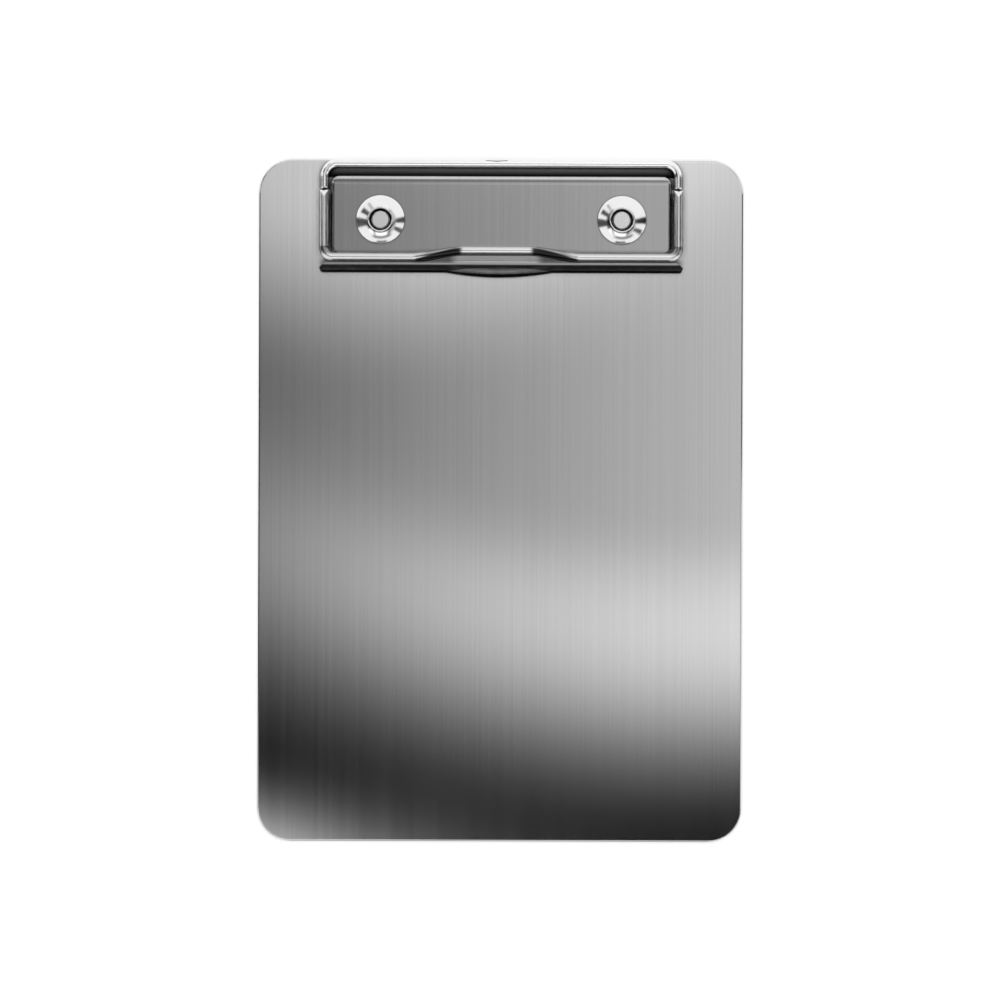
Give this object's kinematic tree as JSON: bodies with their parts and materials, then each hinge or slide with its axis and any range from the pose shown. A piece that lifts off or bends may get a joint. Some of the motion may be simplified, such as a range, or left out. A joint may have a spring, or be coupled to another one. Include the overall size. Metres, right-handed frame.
{
  "type": "clipboard",
  "caption": "Flat steel clipboard with rounded corners and a low riveted clip, whose pressed jaw swings up on side pivots to take and hold a sheaf of paper.",
  "frame": {"origin": "middle of the board's back face", "axes": "+X across the board to the right, +Y up the board towards the clip, +Z out of its face"},
  "size_m": [0.16, 0.225, 0.0091],
  "materials": {
    "board": "brushed along its length",
    "base_plate": "satin plated",
    "jaw": "bright plated",
    "wire": "bright plated",
    "pins": "bright plated",
    "washers": "bright plated",
    "rivets": "satin plated"
  },
  "bodies": {
    "base": {"board": "board", "base_plate": "base_plate", "spring_wire": "wire", "left_cup_washer": "washers", "right_cup_washer": "washers", "left_rivet": "rivets", "right_rivet": "rivets"},
    "clip_jaw": {"jaw": "jaw", "left_pivot_pin": "pins", "right_pivot_pin": "pins"}
  },
  "joints": [
    {"name": "jaw_hinge", "type": "hinge", "parent": "base", "child": "clip_jaw", "pos_m": [0, 0.0998, 0.0048], "axis": [-1, 0, 0], "range_deg": [0, 90], "stiffness_Nm_per_rad": 0.12, "springref_deg": -57.3}
  ]
}
